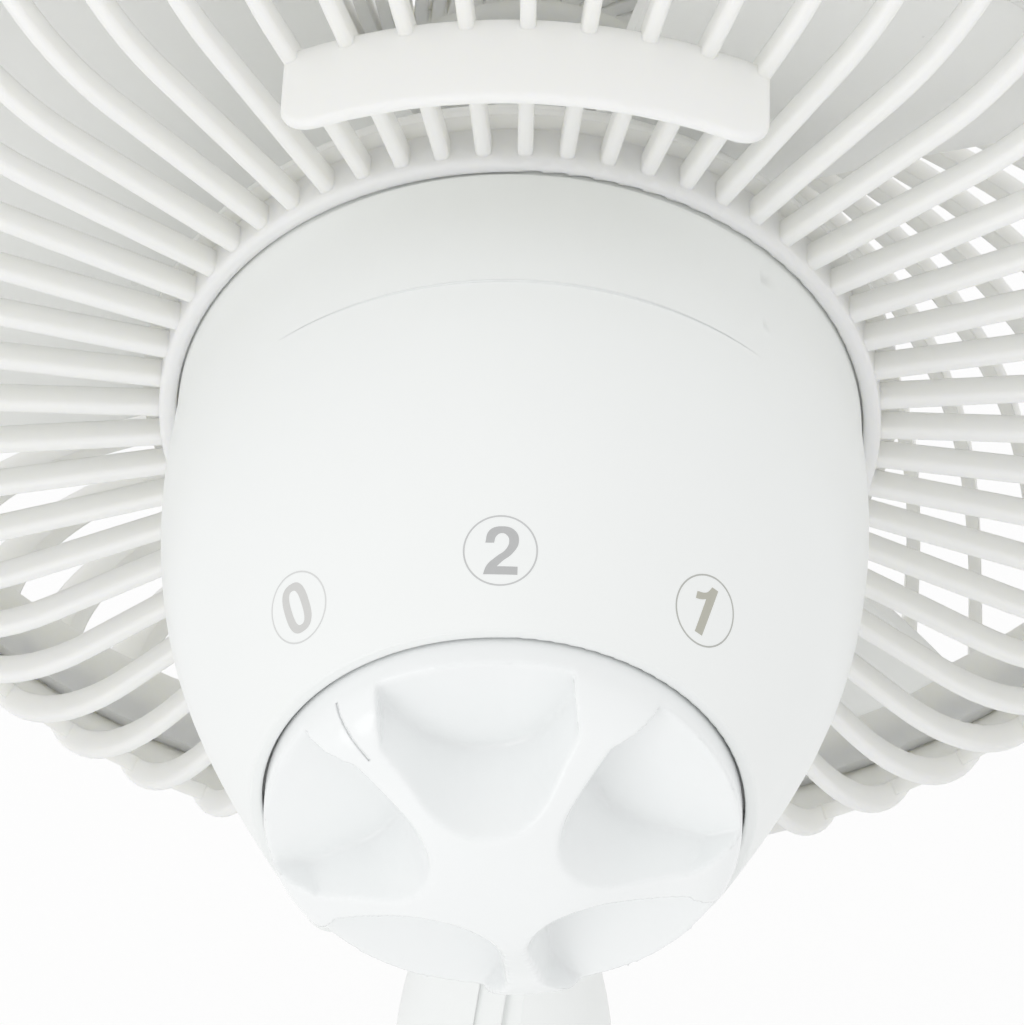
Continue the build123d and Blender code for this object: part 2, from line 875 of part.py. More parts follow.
def housing_solid(sink, high, high_radius):
    """The housing's section, closed along the fan axis and turned about it."""
    skin = housing_skin(sink, high, high_radius)
    low_corner = (housing_radii[0] - sink, housing_front)
    outline = [
        skin,
        Line((high_radius, high), (0, high)),
        Line((0, high), (0, housing_front)),
        Line((0, housing_front), low_corner),
        Line(low_corner, skin @ 0),
    ]
    return turned(Curve() + outline)


def brow():
    """A collar set a little high, so that its edge stands proud over the top only."""
    lift = brow_shift * math.cos(math.radians(brow_half_angle))
    skin = housing_solid(lift, housing_end, housing_end_radius - lift)
    return Pos(0, brow_shift, 0) * (skin & rod(hub_ring_outer, brow_front, brow_level))


def seam_bead():
    """A bead that fills the gap inside the guard's hub ring, nearly up to its edge."""
    high = hub_ring_crest - hub_ring_round - seam_depth
    return tube(hub_ring_inner - seam_gap, hub_ring_inner - housing_wall, housing_front, high)


def housing_tongue():
    height = tilt_axis_drop - housing_radii[0] + tongue_overlap
    blade = Box(
        tongue_thickness, height, 2 * tongue_radius, align=(Align.CENTER, Align.MIN, Align.CENTER)
    )
    tongue = blade + Rot(0, 90, 0) * Cylinder(tongue_radius, tongue_thickness)
    return Pos(0, -tilt_axis_drop, tilt_level) * tongue


def gland_bar(radius, length):
    """A bar through the housing's underside, in line with the cord gland."""
    place = Pos(0, -gland_seat_drop, gland_level) * Rot(-90, 0, 0)
    return place * Cylinder(radius, length, align=base)


def motor_housing():
    shell = housing_solid(0, housing_end, housing_end_radius)
    shell -= rod(knob_radius + knob_gap, housing_end - knob_recess_depth, housing_end)
    lip = shell.edges().filter_by(GeomType.CIRCLE).filter_by(
        lambda e: abs((e @ 0).Z - housing_end) < 0.01
    )
    shell = fillet(lip, housing_lip_round) + brow() + housing_tongue()
    shell += gland_bar(gland_flange + gland_seat_margin, gland_seat_depth)
    shell += seam_bead()
    cavity_end_radius = housing_end_radius + cavity_end_widening - housing_wall
    shell -= housing_solid(housing_wall, switch_rear, cavity_end_radius)
    for angle in cover_screw_angles:
        boss = rod(cover_screw_boss, housing_front, housing_front + cover_boss_length)
        boss -= rod(cover_screw_radius, housing_front, housing_front + cover_screw_length)
        shell += polar(cover_screw_circle, angle) * boss
    shell -= rod(switch_neck_radius, switch_rear, housing_end)
    shell -= Pos(0, -tilt_axis_drop, tilt_level) * Rot(0, 90, 0) * Cylinder(
        tilt_bolt_radius + tilt_bolt_clearance, 2 * tongue_thickness
    )
    return shell - gland_bar(gland_radius, gland_seat_depth + housing_wall)


# Speed switch and knob

def switch_body():
    front = switch_rear - switch_length
    block = Pos(0, 0, front) * Box(switch_size, switch_size, switch_length, align=base)
    body = fillet(block.edges().filter_by(Axis.Z), switch_corner)
    neck_rear = switch_nut_front + switch_nut_height + switch_neck_reach
    body += rod(switch_neck_radius, switch_rear, neck_rear)
    for i in range(terminal_count):
        x = (i - (terminal_count - 1) / 2) * terminal_pitch
        body += Pos(x, 0, front - terminal_length) * Box(
            terminal_width, terminal_thickness, terminal_length, align=base
        )
    return body - rod(
        switch_shaft_radius + running_gap, switch_rear - switch_shaft_root, neck_rear
    )


def switch_nut():
    high = switch_nut_front + switch_nut_height
    nut = hex_rod(switch_nut_flats, switch_nut_front, high)
    return nut - rod(switch_neck_radius, switch_nut_front, high)


def shaft_flat(low, high):
    """What the flat takes off the switch's shaft."""
    return Pos(0, 2 * switch_shaft_radius - switch_shaft_flat, low) * Box(
        2 * switch_shaft_radius, 2 * switch_shaft_radius, high - low, align=base
    )


def switch_shaft():
    low = switch_rear - switch_shaft_root + switch_shaft_gap
    shaft = rod(switch_shaft_radius, low, switch_shaft_rear)
    return shaft - shaft_flat(knob_boss_front - switch_shaft_gap, switch_shaft_rear)


def knob_dome(sink):
    """The knob's rounded top, sunk under its surface, closed along the fan axis."""
    reach = knob_radius - sink
    crown = knob_crown_level - sink
    rise = crown - knob_rim_level
    profile = [(reach * share, knob_rim_level + rise * height) for share, height in knob_profile]
    rim = (reach, knob_rim_level)
    outline = [
        Line((0, knob_front), (reach, knob_front)),
        Line((reach, knob_front), rim),
        Spline(
            rim, *profile, (0, crown), tangents=[(0, 1), (-1, 0)], tangent_scalars=[1, 1]
        ),
        Line((0, crown), (0, knob_front)),
    ]
    return turned(Curve() + outline)


def scoop():
    """A finger scoop: round at its inner end, then between two arms and open to the rim."""
    turn = math.radians(180 / lobe_count)
    half = arm_width / 2
    apex = half / math.sin(turn)
    centre = (scoop_inner - half) / (1 - math.sin(turn))
    radius = centre - scoop_inner
    near = (centre - radius * math.sin(turn), radius * math.cos(turn))
    bend = (apex + scoop_half_width / math.tan(turn), scoop_half_width)
    far = (2 * knob_radius, scoop_half_width)
    side = [near, bend, far]
    outline = [
        ThreePointArc((near[0], -near[1]), (scoop_inner, 0), near),
        Polyline(*side, *[(x, -y) for x, y in reversed(side)]),
    ]
    floor = Pos(0, 0, scoop_floor) * Pos(scoop_inner, 0, 0) * Rot(0, -scoop_slope, 0)
    plan = floor * Pos(-scoop_inner, 0, 0) * make_face(Curve() + outline)
    lean = math.radians(scoop_lean)
    return extrude(plan, 2 * knob_radius, dir=(-math.sin(lean), 0, math.cos(lean)))


def speed_knob():
    first = pointer_angle + 180 / lobe_count
    knob = knob_dome(0) - around(scoop(), lobe_count, first)
    groove_length = knob_radius - pointer_inner + pointer_width
    groove = Pos(pointer_inner + groove_length / 2, 0, housing_end) * Box(
        groove_length, pointer_width, knob_crown_level, align=base
    )
    knob -= Rot(0, 0, pointer_angle) * (groove - knob_dome(pointer_depth))
    hollow_rear = knob_crown_level - 2 * knob_wall
    lean_in = (hollow_rear - scoop_floor) * math.tan(math.radians(scoop_lean))
    hollow_radius = scoop_inner - lean_in - knob_wall
    knob -= tube(hollow_radius, knob_boss_radius, knob_front, hollow_rear)
    knob -= rod(hollow_radius, knob_front, knob_boss_front)
    bore_rear = switch_shaft_rear + switch_shaft_gap
    bore = rod(switch_shaft_radius, knob_boss_front, bore_rear)
    return knob - (bore - shaft_flat(knob_boss_front, bore_rear))


def cord_gland():
    nose = Cone(gland_nose_root, gland_nose_radius, gland_nose_length, align=base)
    gland = rod(gland_radius, -gland_body_length, 0) + rod(gland_flange, 0, gland_flange_thickness)
    gland += Pos(0, 0, gland_flange_thickness) * nose
    gland -= rod(gland_bore, -gland_body_length, gland_flange_thickness + gland_nose_length)
    return Pos(0, -gland_seat_drop, gland_level) * Rot(90, 0, 0) * gland


# Tilt joint

def tilt_washers():
    washer = tube(
        washer_radius, tilt_bolt_radius + tilt_bolt_clearance,
        tongue_thickness / 2, tongue_thickness / 2 + washer_thickness,
    )
    places = [Pos(0, tilt_y, tilt_height) * Rot(0, turn, 0) for turn in (-90, 90)]
    return Compound(children=[place * washer for place in places])


def tilt_bolt():
    return cross_rod(
        tilt_bolt_radius, tilt_bolt_sink - ear_outer, tilt_knob_end - tilt_bolt_end_wall,
        tilt_y, tilt_height,
    )


def tilt_nut():
    nut = hex_rod(tilt_nut_flats, 0, tilt_nut_thickness)
    nut -= rod(tilt_bolt_radius, 0, tilt_nut_thickness)
    return Pos(-ear_outer, tilt_y, tilt_height) * Rot(0, 90, 0) * nut


def tilt_knob():
    length = tilt_knob_end - ear_outer
    knob = Cylinder(tilt_knob_radius, length, align=base)
    knob = fillet(knob.edges().group_by(Axis.Z)[-1], tilt_knob_round)
    knob -= Cylinder(tilt_bolt_radius, length - tilt_bolt_end_wall, align=base)
    return Pos(ear_outer, tilt_y, tilt_height) * Rot(0, 90, 0) * knob


# Neck

def neck_body(wall, drop):
    """The neck's loft, a wall inside its surface, ending a drop below the tilt axis."""
    heights = [neck_low + h for h in neck_heights] + [tilt_height - drop]
    widths = [w - wall for w in neck_half_widths]
    depths = [d - wall for d in neck_half_depths]
    rows = zip(heights, widths + widths[-1:], depths + depths[-1:])
    return loft([Pos(0, 0, height) * Ellipse(width, depth) for height, width, depth in rows])


def flute(deep):
    """A saw-tooth flute in the neck's back, which fades out at its lower end."""
    faces = []
    for height in flute_heights:
        back = between(neck_heights, neck_half_depths, height)
        left = deep + flute_shift + flute_lean * (flute_heights[-1] - height)
        right = left - flute_pitch
        depth = 0 if height == flute_heights[0] else flute_depth
        corners = [
            (left, back - depth),
            (left, back + flute_reach),
            (right, back + flute_reach),
            (right, back + flute_shallow),
        ]
        faces.append(Pos(0, 0, neck_low + height) * make_face(Polyline(*corners, close=True)))
    return loft(faces, ruled=True)


def stop_groove():
    """An arc in the neck's underside, in which the stop lug on the clip runs."""
    half = stop_lug_radius + stop_gap
    ring = tube(
        stop_lug_circle + half, stop_lug_circle - half, neck_low, neck_low + stop_lug_height + stop_gap
    )
    spare = math.degrees(half / stop_lug_circle)
    blocked_half = 180 - swivel_reach - spare
    reach = 4 * stop_lug_circle
    one_side = polar_point(reach, -90 - blocked_half)
    other_side = polar_point(reach, -90 + blocked_half)
    wedge = make_face(Polyline((0, 0), one_side, other_side, close=True))
    return ring - Pos(0, 0, neck_low) * extrude(wedge, neck_flange_thickness)


def neck():
    body = neck_body(0, neck_top_drop)
    knuckle = cross_rod(knuckle_radius, -ear_outer, ear_outer, tilt_y, tilt_height)
    body += fillet(knuckle.edges(), knuckle_round)
    slot_radius = tongue_radius + knuckle_slot_gap
    body -= cross_rod(slot_radius, -ear_inner, ear_inner, tilt_y, tilt_height)
    body -= Pos(0, tilt_y, tilt_height - neck_top_drop) * Box(
        2 * ear_inner, 4 * knuckle_radius, 4 * knuckle_radius, align=base
    )
    body -= neck_body(neck_wall, neck_hollow_drop)
    body += rod(neck_half_widths[0], neck_low, neck_low + neck_flange_thickness)
    body -= [flute(flute_pitch * (flute_count / 2 - i)) for i in range(flute_count)]
    body -= rod(
        swivel_bolt_radius + running_gap, neck_low, neck_low + neck_flange_thickness
    )
    body -= cross_rod(tilt_bolt_radius, -ear_outer, ear_outer, tilt_y, tilt_height)
    pocket = hex_rod(tilt_nut_flats, 0, tilt_nut_thickness)
    body -= Pos(-ear_outer, tilt_y, tilt_height) * Rot(0, 90, 0) * pocket
    return body - stop_groove()


# Swivel

def swivel_bolt():
    head_low = neck_low + neck_flange_thickness
    bolt = rod(swivel_bolt_radius, swivel_nut_low - swivel_bolt_end, head_low)
    return bolt + rod(swivel_head_radius, head_low, head_low + swivel_head_height)


def swivel_washer():
    low = swivel_washer_top - swivel_washer_thickness
    return tube(swivel_washer_radius, swivel_bolt_radius, low, swivel_washer_top)


def swivel_nut():
    high = swivel_nut_low + swivel_nut_height
    return hex_rod(swivel_nut_flats, swivel_nut_low, high) - rod(
        swivel_bolt_radius, swivel_nut_low, high
    )


# Clip

def jaw_side():
    """The upper jaw's side: tip, slope up to the neck's seat, lever and skirts."""
    tip_low = (jaw_tip_y, jaw_tip_height)
    tip_top = (jaw_tip_y, jaw_tip_height + jaw_tip_thickness)
    seat_front = (-seat_half, jaw_top)
    seat_rear = (seat_half, jaw_top)
    lever_top = (lever_end_y, jaw_top - lever_drop)
    lever_low = (lever_end_y, jaw_top - lever_drop - lever_edge)
    skirt_rear = (skirt_rear_y, skirt_rear_height)
    skirt_front = (skirt_front_y, jaw_throat_height)
    throat = (jaw_tip_y + grip_pad_length + throat_margin, jaw_tip_height)
    swell = (
        (tip_top[0] + seat_front[0]) / 2 + jaw_swell,
        (tip_top[1] + seat_front[1]) / 2 - jaw_swell,
    )
    lines = [Line(tip_low, tip_top), ThreePointArc(tip_top, swell, seat_front)]
    corners = [seat_front, seat_rear, lever_top, lever_low, skirt_rear, skirt_front, throat, tip_low]
    lines += [Line(start, end) for start, end in zip(corners, corners[1:])]
    face = make_face(Curve() + lines)
    rounds = (
        (tip_top, jaw_tip_round),
        (seat_front, seat_round),
        (seat_rear, seat_round),
        (lever_top, lever_round),
    )
    for corner, radius in rounds:
        face = fillet(face.vertices().sort_by_distance((*corner, 0))[0], radius)
    return Plane.YZ * face


def is_upper_edge(edge):
    """True for the edges round the jaw's two sides that lie above its skirts."""
    middle = edge @ 0.5
    share = (middle.Y - jaw_tip_y) / (lever_end_y - jaw_tip_y)
    tip_middle = jaw_tip_height + jaw_tip_thickness / 4
    lever_middle = jaw_top - lever_drop - 3 * lever_edge / 4
    line = tip_middle + share * (lever_middle - tip_middle)
    return abs(abs(middle.X) - jaw_width / 2) < 0.01 and middle.Z > line


def jaw_hollow():
    front = jaw_tip_y + grip_pad_length + 2 * throat_margin
    rear = lever_end_y - jaw_wall
    outline = Polyline(
        (front, 0),
        (front, jaw_tip_height + jaw_tip_thickness - 1),
        (1 - seat_half, jaw_top - seat_wall),
        (seat_half - 1, jaw_top - seat_wall),
        (rear, jaw_top - lever_drop - jaw_wall),
        (rear, 0),
        close=True,
    )
    return extrude(side_face(outline), jaw_width / 2 - jaw_wall, both=True)


def lever_ridges():
    """Round bars across the lever, for the thumb."""
    half = jaw_width / 2 - ridge_margin
    bars = []
    for i in range(ridge_count):
        y = lever_end_y - ridge_margin / 2 - i * ridge_pitch
        fall = lever_drop * (y - seat_half) / (lever_end_y - seat_half)
        bars.append(cross_rod(ridge_radius, -half, half, y, jaw_top - fall - ridge_sink))
    return bars


def clip_upper_jaw():
    jaw = extrude(jaw_side(), jaw_width / 2, both=True)
    jaw = fillet(jaw.edges().filter_by(is_upper_edge), jaw_edge_round)
    inside = jaw_width / 2 - jaw_wall
    ears = cross_rod(ear_radius, -jaw_width / 2, jaw_width / 2, pin_y, pin_height)
    ears -= cross_rod(2 * ear_radius, -inside, inside, pin_y, pin_height)
    jaw = jaw + lever_ridges() - jaw_hollow() + ears
    jaw -= cross_rod(pin_radius + pin_gap, -jaw_width, jaw_width, pin_y, pin_height)
    jaw -= rod(swivel_bolt_radius, jaw_top - 2 * seat_wall, jaw_top)
    jaw -= pad_recess(jaw_tip_height)
    lug = rod(stop_lug_radius, jaw_top - stop_lug_root, jaw_top + stop_lug_height)
    return jaw + Pos(0, stop_lug_circle, 0) * lug


def pad_place(height):
    return Pos(0, jaw_tip_y + grip_pad_length / 2 + grip_pad_setback, height)


def pad_recess(height):
    """The shallow pocket that a grip pad is glued into."""
    return pad_place(height) * Box(grip_pad_width, grip_pad_length, 2 * grip_pad_sink)


def grip_pad(height, side):
    """A grooved rubber pad: side is +1 for the upper jaw's and -1 for the foot's."""
    middle = height + side * (grip_pad_sink - grip_pad_thickness / 2)
    pad = pad_place(middle) * Box(grip_pad_width, grip_pad_length, grip_pad_thickness)
    face = height + side * (grip_pad_sink - grip_pad_thickness)
    step = grip_pad_length / (grip_groove_count + 1)
    for i in range(grip_groove_count):
        y = (i + 1) * step - grip_pad_length / 2
        pad -= pad_place(face) * Pos(0, y, 0) * Box(
            grip_pad_width, grip_groove_width, 2 * grip_groove_depth
        )
    return pad


def sole_plan():
    return Pos(0, foot_middle_y, 0) * RectangleRounded(
        foot_width - 2 * sole_inset,
        foot_rear_y - foot_front_y - 2 * sole_inset,
        foot_corner - sole_inset,
    )


def foot_ears():
    """Two gusseted ears on the foot, inside the upper jaw's, that carry the hinge pin."""
    root = foot_top - foot_root
    left = (pin_y - foot_ear_radius, pin_height)
    right = (pin_y + foot_ear_radius, pin_height)
    outline = [
        Line((pin_y - foot_ear_half, root), (pin_y + foot_ear_half, root)),
        Line((pin_y + foot_ear_half, root), right),
        ThreePointArc(right, (pin_y, pin_height + foot_ear_radius), left),
        Line(left, (pin_y - foot_ear_half, root)),
    ]
    ear = extrude(side_face(Curve() + outline), foot_ear_thickness / 2, both=True)
    middle = jaw_width / 2 - jaw_wall - foot_ear_gap - foot_ear_thickness / 2
    return [Pos(side * middle, 0, 0) * ear for side in (-1, 1)]


def clip_lower_jaw():
    plan = RectangleRounded(foot_width, foot_rear_y - foot_front_y, foot_corner)
    plate = Pos(0, foot_middle_y, foot_low) * extrude(plan, foot_thickness)
    foot = fillet(plate.edges().group_by(Axis.Z)[-1], foot_edge_round)
    seat = Box(
        grip_pad_width + 2 * pad_seat_margin,
        grip_pad_length + 2 * pad_seat_margin,
        lower_seat - foot_top + foot_root,
        align=base,
    )
    seat = fillet(seat.edges().filter_by(Axis.Z), pad_seat_round)
    foot = foot + pad_place(foot_top - foot_root) * seat + foot_ears()
    foot -= pad_recess(lower_seat)
    foot -= cross_rod(pin_radius, -jaw_width, jaw_width, pin_y, pin_height)
    return foot - Pos(0, 0, foot_low) * extrude(sole_plan(), sole_recess)


def rubber_sole():
    return extrude(sole_plan(), sole_thickness)


def hinge_pin():
    reach = jaw_width / 2 + pin_cap_thickness
    return cross_rod(pin_radius, -reach, reach, pin_y, pin_height)


def pin_caps():
    low = jaw_width / 2 + pin_cap_gap
    cap = tube(pin_cap_radius, pin_radius, low, low + pin_cap_thickness)
    places = [Pos(0, pin_y, pin_height) * Rot(0, turn, 0) for turn in (-90, 90)]
    return Compound(children=[place * cap for place in places])


def clip_spring():
    """A coil round the pin, with one leg under the lever and one on the foot."""
    turns = spring_whole_turns - 0.5 - spring_splay / 180
    length = turns * spring_pitch
    coil = Helix(spring_pitch, length, spring_coil_radius)
    wire = Circle(spring_wire_radius)
    spring = sweep(Plane(origin=coil @ 0, z_dir=coil % 0) * wire, path=coil)
    spring += extrude(Plane(origin=coil @ 0, z_dir=-(coil % 0)) * wire, spring_upper_leg)
    spring += extrude(Plane(origin=coil @ 1, z_dir=coil % 1) * wire, spring_lower_leg)
    lay = Plane(origin=(-length / 2, pin_y, pin_height), x_dir=(0, 0, -1), z_dir=(1, 0, 0))
    return lay.location * Rot(0, 0, 180 + spring_splay) * spring


# The nodes that are drawn about the fan axis, and those that are drawn where they stand

head_nodes = {
    "rear_guard": rear_guard,
    "front_guard": front_guard,
    "front_cap": front_cap,
    "rim_screw": rim_screw,
    "fan_blade": fan_blade,
    "motor_shaft": motor_shaft,
    "rotor": rotor,
    "stator_core": stator_core,
    "stator_windings": stator_windings,
    "front_bracket": front_bracket,
    "rear_bracket": rear_bracket,
    "front_bush": lambda: bush(front_boss_front),
    "rear_bush": lambda: bush(rear_bush_front),
    "oil_felts": oil_felts,
    "thrust_washers": thrust_washers,
    "motor_screws": motor_screws,
    "plate_screws": plate_screws,
    "cover_screws": cover_screws,
    "motor_housing": motor_housing,
    "switch_body": switch_body,
    "switch_nut": switch_nut,
    "switch_shaft": switch_shaft,
    "speed_knob": speed_knob,
    "cord_gland": cord_gland,
}

stand_nodes = {
    "tilt_washers": tilt_washers,
    "tilt_bolt": tilt_bolt,
    "tilt_nut": tilt_nut,
    "tilt_knob": tilt_knob,
    "neck": neck,
    "swivel_bolt": swivel_bolt,
    "swivel_washer": swivel_washer,
    "swivel_nut": swivel_nut,
    "clip_upper_jaw": clip_upper_jaw,
    "clip_lower_jaw": clip_lower_jaw,
    "upper_grip_pad": lambda: grip_pad(jaw_tip_height, 1),
    "lower_grip_pad": lambda: grip_pad(lower_seat, -1),
    "rubber_sole": rubber_sole,
    "hinge_pin": hinge_pin,
    "pin_caps": pin_caps,
    "clip_spring": clip_spring,
}

for name, make in head_nodes.items():
    export_step(head_plane.location * make(), f"parts/{name}.step")

for name, make in stand_nodes.items():
    export_step(make(), f"parts/{name}.step")
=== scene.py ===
import json
import math
import bpy
from mathutils import Matrix, Vector


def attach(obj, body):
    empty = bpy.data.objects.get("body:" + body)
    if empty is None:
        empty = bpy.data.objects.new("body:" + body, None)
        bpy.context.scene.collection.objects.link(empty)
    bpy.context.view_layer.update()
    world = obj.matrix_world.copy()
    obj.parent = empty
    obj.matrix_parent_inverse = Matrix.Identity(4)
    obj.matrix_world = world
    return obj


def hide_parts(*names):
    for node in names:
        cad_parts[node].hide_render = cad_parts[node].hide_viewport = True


# Looks of a small white clip fan, seen from behind and above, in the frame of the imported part.
# Blender's own lengths are metres. A value that is multiplied by mm is written in millimetres.

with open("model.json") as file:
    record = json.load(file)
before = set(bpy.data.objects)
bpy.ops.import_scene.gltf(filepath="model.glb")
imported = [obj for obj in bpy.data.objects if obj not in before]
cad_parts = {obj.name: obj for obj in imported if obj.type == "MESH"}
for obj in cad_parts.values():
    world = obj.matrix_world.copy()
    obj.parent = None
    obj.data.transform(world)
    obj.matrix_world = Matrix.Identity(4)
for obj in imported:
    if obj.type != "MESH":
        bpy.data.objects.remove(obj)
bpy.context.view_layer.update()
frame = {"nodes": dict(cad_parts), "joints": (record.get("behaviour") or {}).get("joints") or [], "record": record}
mm = 0.001
scene = bpy.context.scene
scene.view_settings.view_transform = "Standard"

# The head's own axes: X to the right in the back view, Y up, Z out of the guard's back plane
fanJoint = next(joint for joint in frame["joints"] if joint["name"] == "fan_spin")
headPlace = Matrix.Translation(fanJoint["pos_m"]) @ Matrix(
    ((-1, 0, 0, 0), (0, 0, 1, 0), (0, 1, 0, 0), (0, 0, 0, 1))
)
print("clip fan: frame loaded with", len(frame["nodes"]), "nodes")


def linearColour(hexColour, alpha=1.0):
    # sRGB hex, such as F2F0EA, to the linear values that a shader takes
    values = [int(hexColour[i:i + 2], 16) / 255 for i in (0, 2, 4)]
    linear = [v / 12.92 if v <= 0.04045 else ((v + 0.055) / 1.055) ** 2.4 for v in values]
    return (*linear, alpha)


def addNode(tree, kind, sockets=None, **settings):
    # sockets holds plain values and links to other nodes' outputs, by the socket's name
    node = tree.nodes.new("ShaderNode" + kind)
    for name, value in settings.items():
        setattr(node, name, value)
    for name, source in (sockets or {}).items():
        if isinstance(source, bpy.types.NodeSocket):
            tree.links.new(source, node.inputs[name])
        else:
            node.inputs[name].default_value = source
    return node


def setStops(ramp, *stops):
    # Sets the two ends of a colour ramp, each from a hex colour and its position
    for element, (hexColour, position) in zip(ramp.color_ramp.elements, stops):
        element.position = position
        element.color = linearColour(hexColour)


def scaleFor(size):
    # The scale of a texture whose features are size millimetres wide
    return 1 / (size * mm)


def startMaterial(name):
    material = bpy.data.materials.new(name)
    material.use_nodes = True
    tree = material.node_tree
    tree.nodes.clear()
    place = addNode(tree, "TexCoord").outputs["Object"]
    return material, tree, place


def finishMaterial(tree, shader):
    addNode(tree, "OutputMaterial", {"Surface": shader})


def addObject(name, data):
    piece = bpy.data.objects.new(name, data)
    scene.collection.objects.link(piece)
    return piece


def selectOnly(piece):
    bpy.ops.object.select_all(action="DESELECT")
    piece.select_set(True)
    bpy.context.view_layer.objects.active = piece


def applyModifier(piece, kind, **settings):
    modifier = piece.modifiers.new("shape", kind)
    for name, value in settings.items():
        setattr(modifier, name, value)
    selectOnly(piece)
    bpy.ops.object.modifier_apply(modifier="shape")


def editMesh(piece, *steps):
    # Runs mesh operators one after the other, with the whole piece selected at the start
    selectOnly(piece)
    bpy.ops.object.mode_set(mode="EDIT")
    bpy.ops.mesh.select_all(action="SELECT")
    for operator, settings in steps:
        operator(**settings)
    bpy.ops.object.mode_set(mode="OBJECT")


# Camera: the photograph's view, found from the guard's rib pattern
cameraView = {
    "place": (-9.35, 597.15, 775.39),
    "turn": (45.154, -0.8057, -178.275),
    "lens": 260.2,
    "sensor": 36.0,
    "nearest": 0.05,
    "farthest": 20,
}


def addCamera(view):
    data = bpy.data.cameras.new("photoCamera")
    data.lens = view["lens"]
    data.sensor_width = view["sensor"]
    data.clip_start = view["nearest"]
    data.clip_end = view["farthest"]
    camera = addObject("photoCamera", data)
    camera.location = [value * mm for value in view["place"]]
    camera.rotation_euler = [math.radians(value) for value in view["turn"]]
    scene.camera = camera


addCamera(cameraView)

# Floor and soft studio light
studio = {
    "floorSize": 4.0,
    "floorDrop": 0.0002,
    "floorColour": "FBFBFB",
    "floorRoughness": (0.75, 0.85),
    "floorGrain": 25.0,
    "floorGlow": 0.88,
    "worldColour": "FFFFFF",
    "worldLevel": 0.9,
    "lamps": (
        # name, place, size, watts, colour
        ("keyLamp", (1.3, 1.7, 0.6), 1.2, 5.0, "FFFFFF"),
        ("topLamp", (0.3, 0.5, 2.0), 1.2, 1.2, "FFFFFF"),
    ),
    "aim": (0.0, 0.0, 0.15),
}


def addFloor(values):
    bpy.ops.object.select_all(action="DESELECT")
    place = (0, 0, -values["floorDrop"])
    bpy.ops.mesh.primitive_plane_add(size=values["floorSize"], location=place)
    floor = bpy.context.object
    floor.name = "studioFloor"
    bpy.ops.object.transform_apply(location=True)
    material, tree, place = startMaterial("paintedFloor")
    grain = addNode(tree, "TexNoise", {
        "Vector": place, "Scale": scaleFor(values["floorGrain"]), "Detail": 2.0,
    })
    smoothest, roughest = values["floorRoughness"]
    roughness = addNode(tree, "MapRange", {
        "Value": grain.outputs["Fac"], "To Min": smoothest, "To Max": roughest,
    })
    paint = addNode(tree, "BsdfPrincipled", {
        "Base Color": linearColour(values["floorColour"]),
        "Roughness": roughness.outputs["Result"],
    })
    # The camera, mirrors and glass see a floor that glows, so it is white but for the fan's
    # faint shadow. The fan itself is lit by the paint alone.
    rays = addNode(tree, "LightPath")
    seen = addNode(tree, "Math", {
        0: rays.outputs["Is Camera Ray"], 1: rays.outputs["Is Glossy Ray"],
    }, operation="MAXIMUM")
    seen = addNode(tree, "Math", {
        0: seen.outputs[0], 1: rays.outputs["Is Transmission Ray"],
    }, operation="MAXIMUM")
    share = addNode(tree, "Math", {
        0: seen.outputs[0], 1: values["floorGlow"],
    }, operation="MULTIPLY")
    glow = addNode(tree, "Emission", {"Strength": 1.0})
    mix = addNode(tree, "MixShader", {
        0: share.outputs[0], 1: paint.outputs[0], 2: glow.outputs[0],
    })
    finishMaterial(tree, mix.outputs[0])
    floor.data.materials.append(material)


def addWorld(values):
    # The camera sees plain white, and the fan is lit by a slightly weaker world
    world = bpy.data.worlds.new("studioWorld")
    world.use_nodes = True
    tree = world.node_tree
    tree.nodes.clear()
    rays = addNode(tree, "LightPath")
    soft = addNode(tree, "Background", {
        "Color": linearColour(values["worldColour"]), "Strength": values["worldLevel"],
    })
    white = addNode(tree, "Background", {"Color": (1, 1, 1, 1), "Strength": 1.0})
    mix = addNode(tree, "MixShader", {
        0: rays.outputs["Is Camera Ray"], 1: soft.outputs[0], 2: white.outputs[0],
    })
    addNode(tree, "OutputWorld", {"Surface": mix.outputs[0]})
    scene.world = world


def addLamps(values):
    aim = Vector(values["aim"])
    for name, place, size, power, colour in values["lamps"]:
        data = bpy.data.lights.new(name, "AREA")
        data.shape = "DISK"
        data.size = size
        data.energy = power
        data.color = linearColour(colour)[:3]
        lamp = addObject(name, data)
        lamp.location = place
        lamp.rotation_euler = (aim - Vector(place)).to_track_quat("-Z", "Y").to_euler()


addFloor(studio)
addWorld(studio)
addLamps(studio)
print("clip fan: camera, floor and light ready")


# Materials. Each size in a look is the width of one feature in mm, each height its depth.

plasticSkin = {
    "cloudStart": 0.3,
    "cloudEnd": 0.7,
    "roughnessSpread": 0.05,
    "bevelSamples": 4,
    "waveStrength": 0.4,
    "grainStrength": 0.5,
}


